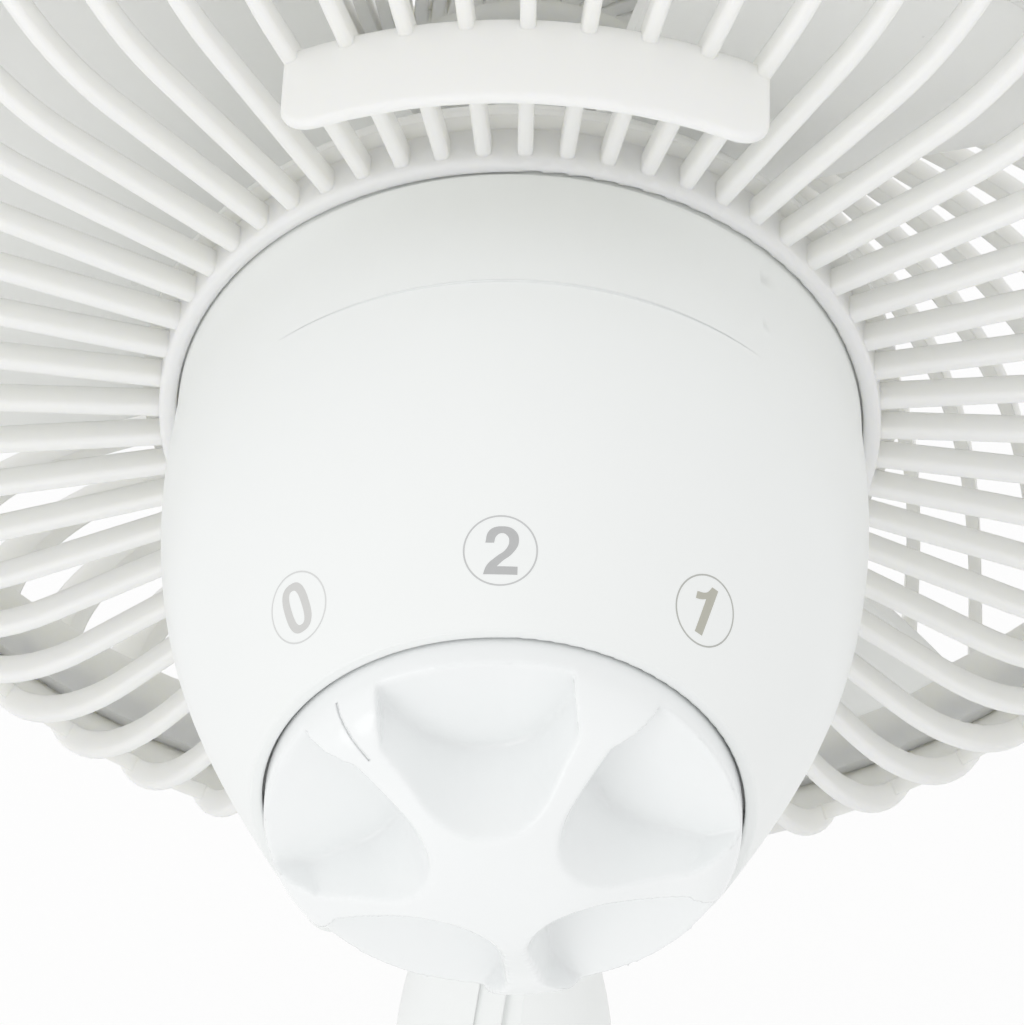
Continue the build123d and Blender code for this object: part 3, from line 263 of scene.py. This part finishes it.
def mouldedPlastic(name, look):
    # Injection-moulded plastic: an even colour with faint cloudy flow marks, a fine
    # spark-eroded grain in the sheen, and slow waves where thick walls have shrunk
    material, tree, place = startMaterial(name)
    cloud = addNode(tree, "TexNoise", {
        "Vector": place, "Scale": scaleFor(look["cloudSize"]), "Detail": 3.0,
    })
    colour = addNode(tree, "ValToRGB", {"Fac": cloud.outputs["Fac"]})
    setStops(
        colour, (look["shade"], plasticSkin["cloudStart"]), (look["colour"], plasticSkin["cloudEnd"]),
    )
    sheen = addNode(tree, "TexNoise", {
        "Vector": place, "Scale": scaleFor(look["sheenSize"]), "Detail": 2.0,
    })
    roughness = addNode(tree, "MapRange", {
        "Value": sheen.outputs["Fac"],
        "To Min": look["roughness"] - plasticSkin["roughnessSpread"],
        "To Max": look["roughness"] + plasticSkin["roughnessSpread"],
    })
    rounded = addNode(
        tree, "Bevel", {"Radius": look["edgeRound"] * mm}, samples=plasticSkin["bevelSamples"],
    )
    wave = addNode(tree, "TexNoise", {
        "Vector": place, "Scale": scaleFor(look["waveSize"]), "Detail": 1.0,
    })
    waves = addNode(tree, "Bump", {
        "Height": wave.outputs["Fac"],
        "Normal": rounded.outputs["Normal"],
        "Strength": plasticSkin["waveStrength"],
        "Distance": look["waveHeight"] * mm,
    })
    grain = addNode(tree, "TexNoise", {
        "Vector": place, "Scale": scaleFor(look["grainSize"]), "Detail": 2.0,
    })
    grains = addNode(tree, "Bump", {
        "Height": grain.outputs["Fac"],
        "Normal": waves.outputs["Normal"],
        "Strength": plasticSkin["grainStrength"],
        "Distance": look["grainHeight"] * mm,
    })
    plastic = addNode(tree, "BsdfPrincipled", {
        "Base Color": colour.outputs["Color"],
        "Roughness": roughness.outputs["Result"],
        "Normal": grains.outputs["Normal"],
        "IOR": look["ior"],
        "Subsurface Weight": look["glowWeight"],
        "Subsurface Radius": look["glowRadius"],
        "Subsurface Scale": 1.0,
    })
    finishMaterial(tree, plastic.outputs[0])
    return material


# glowRadius, in metres, is how far light spreads below the skin of a pale plastic
guardLook = {
    "colour": "F8F8F4", "shade": "F5F5F0", "cloudSize": 30.0,
    "roughness": 0.46, "sheenSize": 3.0, "edgeRound": 0.35,
    "waveSize": 9.0, "waveHeight": 0.03, "grainSize": 0.5, "grainHeight": 0.012,
    "ior": 1.49, "glowWeight": 0.7, "glowRadius": (0.0048, 0.0047, 0.0039),
}
housingLook = {
    "colour": "F5F7F6", "shade": "F3F5F4", "cloudSize": 45.0,
    "roughness": 0.38, "sheenSize": 4.0, "edgeRound": 0.3,
    "waveSize": 14.0, "waveHeight": 0.03, "grainSize": 0.45, "grainHeight": 0.006,
    "ior": 1.5, "glowWeight": 0.0, "glowRadius": (0.001, 0.001, 0.0008),
}
knobLook = {
    "colour": "F5F7F7", "shade": "F3F5F5", "cloudSize": 20.0,
    "roughness": 0.2, "sheenSize": 5.0, "edgeRound": 0.3,
    "waveSize": 8.0, "waveHeight": 0.02, "grainSize": 0.8, "grainHeight": 0.002,
    "ior": 1.52, "glowWeight": 0.0, "glowRadius": (0.001, 0.001, 0.001),
}
bladeLook = {
    "colour": "F6F8F6", "shade": "F3F5F3", "cloudSize": 25.0,
    "roughness": 0.3, "sheenSize": 4.0, "edgeRound": 0.25,
    "waveSize": 12.0, "waveHeight": 0.02, "grainSize": 0.6, "grainHeight": 0.003,
    "ior": 1.57, "glowWeight": 0.7, "glowRadius": (0.006, 0.006, 0.006),
}
switchLook = {
    "colour": "232325", "shade": "1D1D1F", "cloudSize": 6.0,
    "roughness": 0.5, "sheenSize": 1.5, "edgeRound": 0.2,
    "waveSize": 5.0, "waveHeight": 0.02, "grainSize": 0.3, "grainHeight": 0.01,
    "ior": 1.5, "glowWeight": 0.0, "glowRadius": (0.001, 0.001, 0.001),
}
nylonLook = {
    "colour": "E9E7DC", "shade": "E2DFD2", "cloudSize": 5.0,
    "roughness": 0.42, "sheenSize": 1.0, "edgeRound": 0.15,
    "waveSize": 3.0, "waveHeight": 0.01, "grainSize": 0.3, "grainHeight": 0.004,
    "ior": 1.53, "glowWeight": 0.0, "glowRadius": (0.001, 0.001, 0.001),
}

rubberSkin = {
    "dustStart": 0.35,
    "dustEnd": 0.75,
    "pitStrength": 0.35,
    "ior": 1.52,
    "sheen": 0.15,
    "sheenRoughness": 0.5,
}


def softRubber(name, look):
    # Compression-moulded rubber: a dull, slightly dusty skin with fine pits
    material, tree, place = startMaterial(name)
    dust = addNode(tree, "TexNoise", {
        "Vector": place, "Scale": scaleFor(look["dustSize"]), "Detail": 5.0,
    })
    colour = addNode(tree, "ValToRGB", {"Fac": dust.outputs["Fac"]})
    setStops(
        colour, (look["colour"], rubberSkin["dustStart"]), (look["dusty"], rubberSkin["dustEnd"]),
    )
    pits = addNode(tree, "TexVoronoi", {"Vector": place, "Scale": scaleFor(look["pitSize"])})
    skin = addNode(tree, "Bump", {
        "Height": pits.outputs["Distance"],
        "Strength": rubberSkin["pitStrength"],
        "Distance": look["pitDepth"] * mm,
    })
    rubber = addNode(tree, "BsdfPrincipled", {
        "Base Color": colour.outputs["Color"],
        "Roughness": look["roughness"],
        "Normal": skin.outputs["Normal"],
        "IOR": rubberSkin["ior"],
        "Sheen Weight": rubberSkin["sheen"],
        "Sheen Roughness": rubberSkin["sheenRoughness"],
    })
    finishMaterial(tree, rubber.outputs[0])
    return material


padLook = {
    "colour": "3A3B3D", "dusty": "4D4E50", "dustSize": 6.0,
    "pitSize": 0.5, "pitDepth": 0.05, "roughness": 0.78,
}
glandLook = {
    "colour": "E6E6E3", "dusty": "EDEDEB", "dustSize": 5.0,
    "pitSize": 0.4, "pitDepth": 0.02, "roughness": 0.62,
}

metalSkin = {
    "roughnessSpread": 0.08,
    "scratchStrength": 0.25,
    "scratchDepth": 0.02,
}


def rolledMetal(name, look):
    # Plated or rolled metal: fine drawn lines along one axis and a cloudy plating
    material, tree, place = startMaterial(name)
    stretch = addNode(tree, "Mapping", {"Vector": place, "Scale": look["stretch"]})
    lines = addNode(tree, "TexNoise", {
        "Vector": stretch.outputs["Vector"],
        "Scale": scaleFor(look["lineSize"]),
        "Detail": 3.0,
    })
    cloud = addNode(tree, "TexVoronoi", {
        "Vector": place, "Scale": scaleFor(look["spangleSize"]),
    })
    colour = addNode(tree, "ValToRGB", {"Fac": cloud.outputs["Distance"]})
    setStops(colour, (look["colour"], 0), (look["shade"], 1))
    roughness = addNode(tree, "MapRange", {
        "Value": lines.outputs["Fac"],
        "To Min": look["roughness"] - metalSkin["roughnessSpread"],
        "To Max": look["roughness"] + metalSkin["roughnessSpread"],
    })
    scratches = addNode(tree, "Bump", {
        "Height": lines.outputs["Fac"],
        "Strength": metalSkin["scratchStrength"],
        "Distance": metalSkin["scratchDepth"] * mm,
    })
    metal = addNode(tree, "BsdfPrincipled", {
        "Base Color": colour.outputs["Color"],
        "Metallic": 1.0,
        "Roughness": roughness.outputs["Result"],
        "Normal": scratches.outputs["Normal"],
    })
    finishMaterial(tree, metal.outputs[0])
    return material


zincLook = {
    "colour": "C9CACC", "shade": "B4B6B9", "stretch": (1.0, 1.0, 0.15),
    "lineSize": 0.25, "spangleSize": 1.6, "roughness": 0.32,
}
springLook = {
    "colour": "8C8E92", "shade": "74767B", "stretch": (0.3, 1.0, 1.0),
    "lineSize": 0.2, "spangleSize": 2.5, "roughness": 0.36,
}
laminationLook = {
    "colour": "77797D", "shade": "5C5E62", "stretch": (0.05, 1.0, 0.05),
    "lineSize": 0.5, "spangleSize": 3.0, "roughness": 0.5,
}
bracketLook = {
    "colour": "C4C6C8", "shade": "A9ABAF", "stretch": (1.0, 1.0, 1.0),
    "lineSize": 0.6, "spangleSize": 4.0, "roughness": 0.4,
}
bronzeLook = {
    "colour": "B08A57", "shade": "94713F", "stretch": (1.0, 1.0, 1.0),
    "lineSize": 0.15, "spangleSize": 0.5, "roughness": 0.48,
}
wireLook = {
    "colour": "C56A35", "gap": "6E3417", "wirePitch": 0.35, "ridgeHeight": 0.15,
    "ridgeStrength": 0.8, "waver": 0.6, "metallic": 0.85, "roughness": 0.3,
    "coat": 0.8, "coatRoughness": 0.12,
}


def enamelledWire(name, look):
    # Enamelled copper winding: round wires side by side under a clear amber coat, with painted shade darkening the
    # gaps between the wires
    material, tree, place = startMaterial(name)
    wires = addNode(tree, "TexWave", {
        "Vector": place, "Scale": scaleFor(look["wirePitch"]) / 2, "Distortion": look["waver"],
        "Detail": 1.0,
    }, bands_direction="X")
    # The ramp paints shade into the gaps between the wires, darkest where the waves are lowest
    colour = addNode(tree, "ValToRGB", {"Fac": wires.outputs["Fac"]})
    setStops(colour, (look["gap"], 0), (look["colour"], 1))
    ridges = addNode(tree, "Bump", {
        "Height": wires.outputs["Fac"],
        "Strength": look["ridgeStrength"],
        "Distance": look["ridgeHeight"] * mm,
    })
    wire = addNode(tree, "BsdfPrincipled", {
        "Base Color": colour.outputs["Color"],
        "Metallic": look["metallic"],
        "Roughness": look["roughness"],
        "Normal": ridges.outputs["Normal"],
        "Coat Weight": look["coat"],
        "Coat Roughness": look["coatRoughness"],
    })
    finishMaterial(tree, wire.outputs[0])
    return material


feltLook = {
    "colour": "BDB59C", "oiled": "8D8468", "fibreSize": 0.6, "fibreTwist": 1.5,
    "mattedStrength": 0.9, "mattedHeight": 0.1, "roughness": 0.9, "sheen": 0.5,
}


def woolFelt(name, look):
    # Pressed wool felt soaked in oil: matted fibres, darker in patches
    material, tree, place = startMaterial(name)
    fibres = addNode(tree, "TexNoise", {
        "Vector": place, "Scale": scaleFor(look["fibreSize"]), "Detail": 6.0,
        "Distortion": look["fibreTwist"],
    })
    colour = addNode(tree, "ValToRGB", {"Fac": fibres.outputs["Fac"]})
    setStops(colour, (look["oiled"], 0), (look["colour"], 1))
    matted = addNode(tree, "Bump", {
        "Height": fibres.outputs["Fac"],
        "Strength": look["mattedStrength"],
        "Distance": look["mattedHeight"] * mm,
    })
    felt = addNode(tree, "BsdfPrincipled", {
        "Base Color": colour.outputs["Color"],
        "Roughness": look["roughness"],
        "Normal": matted.outputs["Normal"],
        "Sheen Weight": look["sheen"],
    })
    finishMaterial(tree, felt.outputs[0])
    return material


def printedInk(name, look):
    # Pad-printed ink: a thin even film, slightly mottled where the pad lifted
    material, tree, place = startMaterial(name)
    mottle = addNode(tree, "TexNoise", {
        "Vector": place, "Scale": scaleFor(look["mottleSize"]), "Detail": 3.0,
    })
    colour = addNode(tree, "ValToRGB", {"Fac": mottle.outputs["Fac"]})
    setStops(colour, (look["colour"], 0), (look["thin"], 1))
    ink = addNode(tree, "BsdfPrincipled", {
        "Base Color": colour.outputs["Color"],
        "Roughness": look["roughness"],
        "IOR": look["ior"],
    })
    finishMaterial(tree, ink.outputs[0])
    return material


materials = {
    "guard_plastic": mouldedPlastic("satinPolypropylene", guardLook),
    "housing_plastic": mouldedPlastic("whiteMouldedAbs", housingLook),
    "knob_plastic": mouldedPlastic("glossMouldedAbs", knobLook),
    "blade_plastic": mouldedPlastic("paleBladePlastic", bladeLook),
    "switch_plastic": mouldedPlastic("blackPhenolic", switchLook),
    "nylon": mouldedPlastic("naturalNylon", nylonLook),
    "gland_rubber": softRubber("whiteGlandRubber", glandLook),
    "pad_rubber": softRubber("greyPadRubber", padLook),
    "steel": rolledMetal("zincPlatedSteel", zincLook),
    "spring_steel": rolledMetal("drawnSpringSteel", springLook),
    "lamination_steel": rolledMetal("stackedSheetSteel", laminationLook),
    "bracket_steel": rolledMetal("galvanisedSheet", bracketLook),
    "bearing_bronze": rolledMetal("sinteredBronze", bronzeLook),
    "copper_wire": enamelledWire("enamelledCopper", wireLook),
    "felt": woolFelt("oiledWoolFelt", feltLook),
}


def dressNodes():
    slots = {row["node"]: row["material_slot"] for row in frame["record"]["subparts"]}
    for name, node in frame["nodes"].items():
        node.data.materials.clear()
        node.data.materials.append(materials[slots[name]])


dressNodes()
print("clip fan: CAD pieces dressed")


# Vertices closer than this, in mm, are one
mergeDistance = 0.001

# Speed knob: the CAD knob with the soft edges that its mould gives it
knobShape = {
    "voxel": 0.33,
    "smoothing": 10,
    "smoothFactor": 0.5,
    "creaseAngle": 50.0,
    "pointerAngle": 134.0,
    "pointerInner": 21.0,
    "pointerOuter": 26.5,
    "pointerWidth": 0.26,
    "pointerDepth": 0.14,
    "pointerSteps": 8,
    "probeHeight": 100.0,
}


def pointerCutter(knob, values):
    # A thin blade that follows the knob's dome from the pointer's inner end to the rim
    turn = math.radians(values["pointerAngle"])
    outwards = headPlace.to_3x3() @ Vector((math.cos(turn), math.sin(turn), 0))
    down = headPlace.to_3x3() @ Vector((0, 0, -1))
    side = outwards.cross(down).normalized() * (values["pointerWidth"] / 2 * mm)
    reach = values["pointerOuter"] - values["pointerInner"]
    above = headPlace @ Vector((0, 0, values["probeHeight"] * mm))
    ridge = []
    for i in range(values["pointerSteps"] + 1):
        radius = values["pointerInner"] + reach * i / values["pointerSteps"]
        hit, point, normal, index = knob.ray_cast(above + outwards * radius * mm, down)
        ridge.append((point, normal))
    corners = []
    for point, normal in ridge:
        for lift in (-values["pointerDepth"] * mm, 2 * values["pointerDepth"] * mm):
            for way in (-1, 1):
                corners.append(point + normal * lift + side * way)
    faces = [(0, 1, 3, 2), tuple(len(corners) - 4 + i for i in (0, 2, 3, 1))]
    for i in range(0, len(corners) - 4, 4):
        for one, other in ((0, 1), (1, 3), (3, 2), (2, 0)):
            faces.append((i + one, i + 4 + one, i + 4 + other, i + other))
    data = bpy.data.meshes.new("pointerCutter")
    data.from_pydata(corners, [], faces)
    cutter = addObject("pointerCutter", data)
    editMesh(cutter, (bpy.ops.mesh.normals_make_consistent, {"inside": False}))
    return cutter


def mouldKnob(values):
    knob = addObject("mouldedKnob", frame["nodes"]["speed_knob"].data.copy())
    editMesh(knob, (bpy.ops.mesh.remove_doubles, {"threshold": mergeDistance * mm}))
    applyModifier(knob, "REMESH", mode="VOXEL", voxel_size=values["voxel"] * mm)
    applyModifier(
        knob, "SMOOTH", factor=values["smoothFactor"], iterations=values["smoothing"],
    )
    cutter = pointerCutter(knob, values)
    applyModifier(knob, "BOOLEAN", operation="DIFFERENCE", object=cutter, solver="EXACT")
    bpy.data.objects.remove(cutter)
    selectOnly(knob)
    bpy.ops.object.shade_smooth_by_angle(angle=math.radians(values["creaseAngle"]))
    knob.data.materials.clear()
    knob.data.materials.append(materials["knob_plastic"])
    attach(knob, "knob")
    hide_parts("speed_knob")
    print("clip fan: knob moulded,", len(knob.data.polygons), "faces")


mouldKnob(knobShape)


# Printed numbers in circles, on the housing round the knob
marks = {
    "level": 52.72,
    "circle": 8.2,
    "circleSteps": 96,
    "line": 0.18,
    "film": 0.02,
    "curveSteps": 5,
    "cuts": 2,
    "standOff": 1,
    "probeReach": 200.0,
    "places": (
        # number, angle round the fan axis, colour of the number, colour of its circle; each colour is the grey ink
        # with painted light and shade, lighter on the lit left mark and darker on the top and right marks
        ("0", 136.1, ("CFCFCD", "D4D4D2"), ("D6D7D6", "DBDCDB")),
        ("2", 91.8, ("B8B9B9", "BEBFBF"), ("C4C5C5", "CACBCB")),
        ("1", 47.7, ("B7B6AA", "BDBCB1"), ("B6B7B2", "BDBEB9")),
    ),
    "mottle": 0.6,
    "inkRoughness": 0.45,
    "inkIor": 1.5,
}

# A full oval, between an ellipse, whose power is 1, and a rectangle, whose power is 0
oval = {"steps": 24, "power": 0.75}


def ovalOutline(middle, halfWidth, halfHeight):
    outline = []
    for i in range(oval["steps"]):
        turn = 2 * math.pi * i / oval["steps"]
        directions = (math.cos(turn), math.sin(turn))
        x, y = [math.copysign(abs(v) ** oval["power"], v) for v in directions]
        outline.append((middle + halfWidth * x, halfHeight * y, "AUTO"))
    return outline


def mixedOutline(*parts):
    # An outline whose parts are named corner or curve, each with its points
    kinds = {"corner": "VECTOR", "curve": "AUTO"}
    return [(x, y, kinds[kind]) for kind, *points in parts for x, y in points]


# Outlines of the numbers, in mm from the middle of their circle
numberOutlines = {
    "0": (ovalOutline(-0.14, 1.86, 2.93), ovalOutline(-0.14, 0.81, 2.1)),
    "2": (mixedOutline(
        ("corner", (-1.68, 0.88), (-0.73, 0.88)),
        ("curve", (-0.5, 1.65), (0.1, 2.02), (0.72, 1.72), (0.93, 1.02), (0.58, 0.12),
         (-0.43, -0.73), (-1.45, -1.75)),
        ("corner", (-1.82, -2.78), (1.93, -2.78), (1.93, -1.85), (-0.35, -1.85)),
        ("curve", (0.2, -1.28), (1.32, -0.32), (1.98, 1.02), (1.57, 2.3), (0.1, 2.8),
         (-1.27, 2.3)),
    ),),
    "1": (mixedOutline(
        ("corner", (0.68, 2.85), (-0.22, 2.85)),
        ("curve", (-0.7, 1.92)),
        ("corner", (-1.87, 1.43), (-1.77, 0.62)),
        ("curve", (-1.05, 0.85)),
        ("corner", (-0.47, 1.2), (-0.47, -2.87), (0.6, -2.87)),
    ),),
}


def surfacePlace(node, angle, values):
    # The place on a node's skin at an angle and level of the head, with Z off the surface
    # and Y towards the guard
    turn = math.radians(angle)
    outwards = headPlace.to_3x3() @ Vector((math.cos(turn), math.sin(turn), 0))
    axisPoint = headPlace @ Vector((0, 0, values["level"] * mm))
    start = axisPoint + outwards * (values["probeReach"] * mm)
    hit, point, normal, index = node.ray_cast(start, -outwards)
    up = headPlace.to_3x3() @ Vector((0, 0, -1))
    up = (up - normal * up.dot(normal)).normalized()
    side = up.cross(normal)
    place = Matrix((side, up, normal)).transposed().to_4x4()
    place.translation = point
    return place


def layFilm(piece, place, node, values):
    # Lays a flat shape on the skin, applies its place, and gives the ink its thickness
    film = values["film"] * mm
    piece.matrix_world = place @ Matrix.Translation((0, 0, values["standOff"] * mm))
    bpy.context.view_layer.update()
    applyModifier(
        piece, "SHRINKWRAP", wrap_method="PROJECT", target=node, use_project_z=True,
        use_negative_direction=True, offset=film,
    )
    bpy.ops.object.transform_apply(location=True, rotation=True, scale=True)
    applyModifier(piece, "SOLIDIFY", thickness=film, offset=-1)


def numberShape(number, values):
    data = bpy.data.curves.new("number" + number, "CURVE")
    data.dimensions = "2D"
    data.fill_mode = "BOTH"
    data.resolution_u = values["curveSteps"]
    for outline in numberOutlines[number]:
        spline = data.splines.new("BEZIER")
        spline.bezier_points.add(len(outline) - 1)
        spline.use_cyclic_u = True
        for point, (x, y, kind) in zip(spline.bezier_points, outline):
            point.co = (x * mm, y * mm, 0)
            point.handle_left_type = kind
            point.handle_right_type = kind
    selectOnly(addObject("number" + number, data))
    bpy.ops.object.convert(target="MESH")
    piece = bpy.context.object
    editMesh(
        piece,
        (bpy.ops.mesh.remove_doubles, {"threshold": mergeDistance * mm}),
        (bpy.ops.mesh.subdivide, {"number_cuts": values["cuts"]}),
    )
    return piece


def ringShape(name, values):
    bpy.ops.object.select_all(action="DESELECT")
    bpy.ops.mesh.primitive_circle_add(
        vertices=values["circleSteps"], radius=values["circle"] / 2 * mm, fill_type="NGON",
    )
    piece = bpy.context.object
    piece.name = name
    editMesh(
        piece,
        (bpy.ops.mesh.inset, {"thickness": values["line"] * mm}),
        (bpy.ops.mesh.delete, {"type": "FACE"}),
    )
    return piece


def printMarks(values):
    housing = frame["nodes"]["motor_housing"]
    for number, angle, numberInkAndShade, ringInkAndShade in values["places"]:
        place = surfacePlace(housing, angle, values)
        numeral = numberShape(number, values)
        ring = ringShape("ringAround" + number, values)
        # Each mark's colours hold painted shade: one grey ink made lighter or darker by how light falls on its
        # place
        for piece, colours in ((numeral, numberInkAndShade), (ring, ringInkAndShade)):
            layFilm(piece, place, housing, values)
            ink = {
                "colour": colours[0], "thin": colours[1], "mottleSize": values["mottle"],
                "roughness": values["inkRoughness"], "ior": values["inkIor"],
            }
            piece.data.materials.append(printedInk("ink" + piece.name, ink))
            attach(piece, "head")


printMarks(marks)
print("clip fan: numbers printed")
